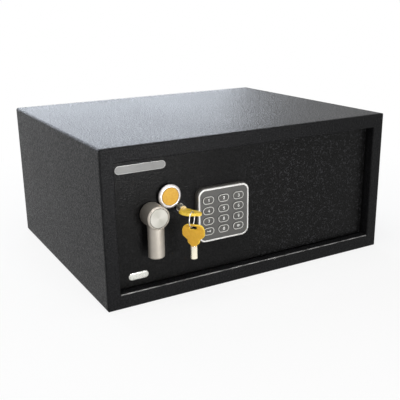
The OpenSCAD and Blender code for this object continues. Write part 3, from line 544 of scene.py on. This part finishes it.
# Signs of the buttons as plain strokes round zero: digits 2.2 wide and 3.6 high, two arrows
SIGNS = {
    "1": [[(-0.6, 1.0), (0.2, 1.8), (0.2, -1.8)]],
    "2": [arc(0, 0.8, 1.05, 1.0, 160, -40) + [(-1.05, -1.8), (1.15, -1.8)]],
    "3": [arc(0, 0.88, 1.0, 0.92, 150, -80), arc(0, -0.88, 1.1, 0.92, 80, -150)],
    "4": [[(0.5, -1.8), (0.5, 1.8), (-1.15, -0.8), (1.2, -0.8)]],
    "5": [[(1.0, 1.8), (-0.8, 1.8), (-0.95, 0.25)] + arc(0, -0.65, 1.1, 1.15, 130, -150)],
    "6": [arc(0.25, -0.3, 1.3, 2.1, 80, 180, 8), arc(0, -0.7, 1.05, 1.1, 180, -180, 16)],
    "7": [[(-1.05, 1.8), (1.1, 1.8), (-0.2, -1.8)]],
    "8": [arc(0, 0.9, 0.9, 0.9, -90, 270, 16), arc(0, -0.85, 1.1, 0.98, 90, -270, 16)],
    "9": [arc(0, 0.7, 1.05, 1.1, 0, 360, 16), arc(-0.25, 0.3, 1.3, 2.1, 0, -100, 8)],
    "0": [arc(0, 0, 1.08, 1.8, 90, -270, 20)],
    "enter": [[(-3.4, 0), (3.2, 0)], [(1.6, 1.3), (3.3, 0), (1.6, -1.3)]],
    "clear": [arc(-0.6, 0, 1.9, 1.5, 60, 300, 14), [(-0.2, 0.1), (2.9, 0.1)],
              [(1.0, 1.2), (-0.3, 0.1), (1.0, -1.0)]],
}


# ---------------------------------------------------------------- key bows with soft edges
# In millimetres: thickness and radius of the edges, then width, height and corner radius of
# the slot for the ring, and how far its middle is from the neck
BOW_THICK, BOW_RIM = 3.4, 0.75
RING_SLOT, RING_SLOT_AT = (8.5, 4.0, 1.0), 22.9


def bow_points(seg=8):
    """Outline of the bow in millimetres: neck at zero, ring end at 26.8."""
    side = [(3.1, 0), (5.2, 2), (6.9, 3.5), (7.4, 4.8), (7.5, 6.8), (7.8, 7.5)]
    side += [(9.6 + 4.36 * math.cos(a), 14.94 + 4.5 * math.sin(a))
             for a in [math.radians(-51.3 + 51.3 * i / seg) for i in range(seg + 1)]]
    side += [(6.1 + 7.86 * math.cos(a), 18.8 + 8 * math.sin(a))
             for a in [math.radians(90 * i / (2 * seg)) for i in range(2 * seg + 1)]]
    return side + [(-x, y) for x, y in reversed(side)]


def bow(node, place):
    """A key bow with rounded edges and the ring's slot, for the CAD solid in its place.

    place takes the outline from the xy plane, neck at zero and ring end at +y, to the key.
    """
    curve = bpy.data.curves.new(node + "_curve", "CURVE")
    curve.dimensions = "2D"
    curve.fill_mode = "BOTH"
    curve.bevel_depth = BOW_RIM * MM
    curve.bevel_resolution = 3
    curve.offset = -BOW_RIM * MM
    curve.extrude = (BOW_THICK / 2 - BOW_RIM) * MM
    ring_slot = [(x, y + RING_SLOT_AT) for x, y in reversed(rounded(*RING_SLOT, 4))]
    for pts in (bow_points(), ring_slot):
        sp = curve.splines.new("POLY")
        sp.points.add(len(pts) - 1)
        for q, (x, y) in zip(sp.points, pts):
            q.co = (x * MM, y * MM, 0, 1)
        sp.use_cyclic_u = True
    tmp = bpy.data.objects.new(node + "_tmp", curve)
    scene.collection.objects.link(tmp)
    dg = bpy.context.evaluated_depsgraph_get()
    me = bpy.data.meshes.new_from_object(tmp.evaluated_get(dg))
    bpy.data.objects.remove(tmp)
    bm = bmesh.new()
    bm.from_mesh(me)
    bmesh.ops.remove_doubles(bm, verts=bm.verts, dist=1e-6)
    bmesh.ops.transform(bm, matrix=place, verts=bm.verts)
    bmesh.ops.recalc_face_normals(bm, faces=bm.faces)
    ob = add(node + "_moulded", bm, bow_mat, node[:5])

    # painted highlight: the rim is paler than the flat faces, and the bow in the lock is pale all
    # over as painted light from above
    ob.data.materials.append(bow_highlight_mat)
    face = place.to_3x3() @ Vector((0, 0, 1))
    for p in ob.data.polygons:
        if abs(p.normal.dot(face)) < 0.93 or node == "key_1_bow":
            p.material_index = 1
    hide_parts(node)


lo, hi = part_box("key_1_bow")
mid = (lo + hi) / 2
bow("key_1_bow", Matrix.Translation((mid.x, hi.y, mid.z)) @ Matrix.Rotation(KEY_LEAN, 4, "Y")
    @ Matrix.Rotation(math.pi, 4, "Z"))
lo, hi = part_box("key_2_bow")
mid = (lo + hi) / 2
bow("key_2_bow", Matrix.Translation((mid.x, mid.y, lo.z)) @ Matrix.Rotation(HANG_TURN, 4, "Z")
    @ Matrix.Rotation(math.pi / 2, 4, "X"))

# ---------------------------------------------------------------- keypad
OUTLINE_IN = 1.15 * MM              # from a button's edge to its printed outline
SIGN_RIGHT = 0.45 * MM              # the signs stand a little right of the middle
for node in [n for n in nodes if n.startswith("button_")]:
    lo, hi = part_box(node)
    cx, cz = middle((lo, hi))
    pill_ring(node + "_outline", cx, cz, hi.x - lo.x - 2 * OUTLINE_IN, hi.z - lo.z - 2 * OUTLINE_IN,
              0.85 * MM, lo.y, 0.16 * MM, outline_mat, node)
    key = node[len("button_"):]
    s = 0.78 * MM if key in ("enter", "clear") else 0.95 * MM
    strokes(node + "_sign", cx + SIGN_RIGHT, cz, [[(x * s, z * s) for x, z in line]
                                                  for line in SIGNS[key]],
            0.8 * MM, lo.y, 0.05 * MM, legend_mat, node)

# ---------------------------------------------------------------- bare plates on the door
door_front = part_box("keypad_housing")[1].y
plate("label_plate", -0.15985, 0.16985, 65.7 * MM, 10.3 * MM, 5.1 * MM, door_front, 0.7 * MM,
      0.25 * MM, plate_mat, "door", sunk=0.15 * MM)
plate("badge_plate", -0.16835, 0.0341, 26.5 * MM, 9.2 * MM, 4.6 * MM, door_front, 1.2 * MM,
      0.5 * MM, badge_mat, "door", crown=0.3 * MM)

# ---------------------------------------------------------------- crosses in the screw heads, dark as painted shade of their recesses
CROSS_ARM = (3.6 * MM, 0.1 * MM, 0.7 * MM)
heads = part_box("mounting_screws")[1].y
for x, z in SCREWS:
    bm = bmesh.new()
    for turn in (20, 110):
        # the x of a screw turns its cross, so that not all stand alike
        place = (Matrix.Translation((x, heads + 0.02 * MM, z))
                 @ Matrix.Rotation(math.radians(turn + 400 * x), 4, "Y")
                 @ Matrix.Diagonal((*CROSS_ARM, 1)))
        bmesh.ops.create_cube(bm, size=1.0, matrix=place)
    add("screw_cross_shade_%d_%d" % (round(x * 1000 + 200), round(z * 1000)), bm, cross_shade_mat, "door",
        False)


# ---------------------------------------------------------------- stage, light, camera
def seen(tree):
    """1 for rays that the camera, a gloss or a clear material sends out, else 0."""
    path = tree.nodes.new("ShaderNodeLightPath")
    out = path.outputs["Is Camera Ray"]
    for name in ("Is Glossy Ray", "Is Transmission Ray"):
        k = tree.nodes.new("ShaderNodeMath")
        k.operation = "MAXIMUM"
        tree.links.new(out, k.inputs[0])
        tree.links.new(path.outputs[name], k.inputs[1])
        out = k.outputs[0]
    return out


def blend(tree, share, shader, other, output):
    """Links a mix of two shaders to the output node: share is how much of the other shows."""
    k = tree.nodes.new("ShaderNodeMixShader")
    for i, v in enumerate((share, shader, other)):
        tree.links.new(v, k.inputs[i])
    tree.links.new(k.outputs[0], tree.nodes[output].inputs["Surface"])


def white(node, strength):
    """Sets an emission or background node to white and gives its shader."""
    node.inputs["Color"].default_value = (1, 1, 1, 1)
    node.inputs["Strength"].default_value = strength
    return node.outputs[0]


floor_mat = Mat("floor")
floor_mat.set(rough=0.9, spec=0.0)
floor_mat.shade(floor_mat.mix(floor_mat.noise(3), (0.85, 0.85, 0.85), (0.89, 0.89, 0.89)))
# the floor shows white, but up to 0.3 m from zero 15% of what shows is its lit surface with the
# shadow of the object, and from there to 0.7 m that share falls to nothing
far = floor_mat.vector("LENGTH", floor_mat.co)
share = floor_mat.times(seen(floor_mat.t), floor_mat.span(far, 0.85, 1.0, 0.3, 0.7))
blend(floor_mat.t, share, floor_mat.b.outputs[0],
      white(floor_mat.n.new("ShaderNodeEmission"), 1.0), "Material Output")
bm = bmesh.new()
bmesh.ops.create_grid(bm, x_segments=2, y_segments=2, size=12)
me = bpy.data.meshes.new("floor")
bm.to_mesh(me)
bm.free()
floor = bpy.data.objects.new("floor", me)
floor.location = (0, 0, -0.3 * MM)
me.materials.append(floor_mat.m)
scene.collection.objects.link(floor)

scene.view_settings.view_transform = "Standard"
world = bpy.data.worlds.new("studio")
scene.world = world
world.use_nodes = True
wt = world.node_tree
blend(wt, seen(wt), white(wt.nodes["Background"], 0.22),
      white(wt.nodes.new("ShaderNodeBackground"), 1.0), "World Output")


def area(name, loc, aim, size, power, color=(1, 1, 1), spread=180):
    """A lamp of size (metres) at loc, unseen by the camera: power in watts, spread in degrees."""
    d = bpy.data.lights.new(name, "AREA")
    d.shape = "RECTANGLE"
    d.size, d.size_y = size
    d.energy = power
    d.color = color
    d.spread = math.radians(spread)
    o = bpy.data.objects.new(name, d)
    o.location = loc
    o.rotation_euler = (Vector(aim) - Vector(loc)).to_track_quat("-Z", "Y").to_euler()
    o.visible_camera = False
    scene.collection.objects.link(o)


area("back_sky", (0.24, 2.2, 0.85), (0.18, 0, 0.4), (2.6, 1.3), 50, (0.82, 0.89, 1.0))
area("low_light", (0.02, -1.1, 0.165), (-0.19, -0.16, 0.24), (0.28, 0.07), 0.6, spread=50)
area("key_light", (-0.3, -1.8, 2.0), (-0.05, -0.16, 0.1), (1.6, 1.2), 4)
area("top_light", (-0.4, -0.3, 1.7), (-0.15, -0.1, 0.1), (1.2, 1.2), 17)

fwd = Vector((math.sin(YAW) * math.cos(PITCH), math.cos(YAW) * math.cos(PITCH), -math.sin(PITCH)))
right = fwd.cross(Vector((0, 0, 1))).normalized()
down = fwd.cross(right).normalized()
r2 = right * math.cos(ROLL) + down * math.sin(ROLL)
d2 = -right * math.sin(ROLL) + down * math.cos(ROLL)
cam_data = bpy.data.cameras.new("camera")
cam_data.sensor_fit = "HORIZONTAL"
cam_data.sensor_width = 36.0
cam_data.lens = FOCAL / PICTURE * cam_data.sensor_width
cam_data.clip_end = 50
cam = bpy.data.objects.new("camera", cam_data)
cam.matrix_world = Matrix.Translation(EYE) @ Matrix((r2, -d2, -fwd)).transposed().to_4x4()
scene.collection.objects.link(cam)
scene.camera = cam
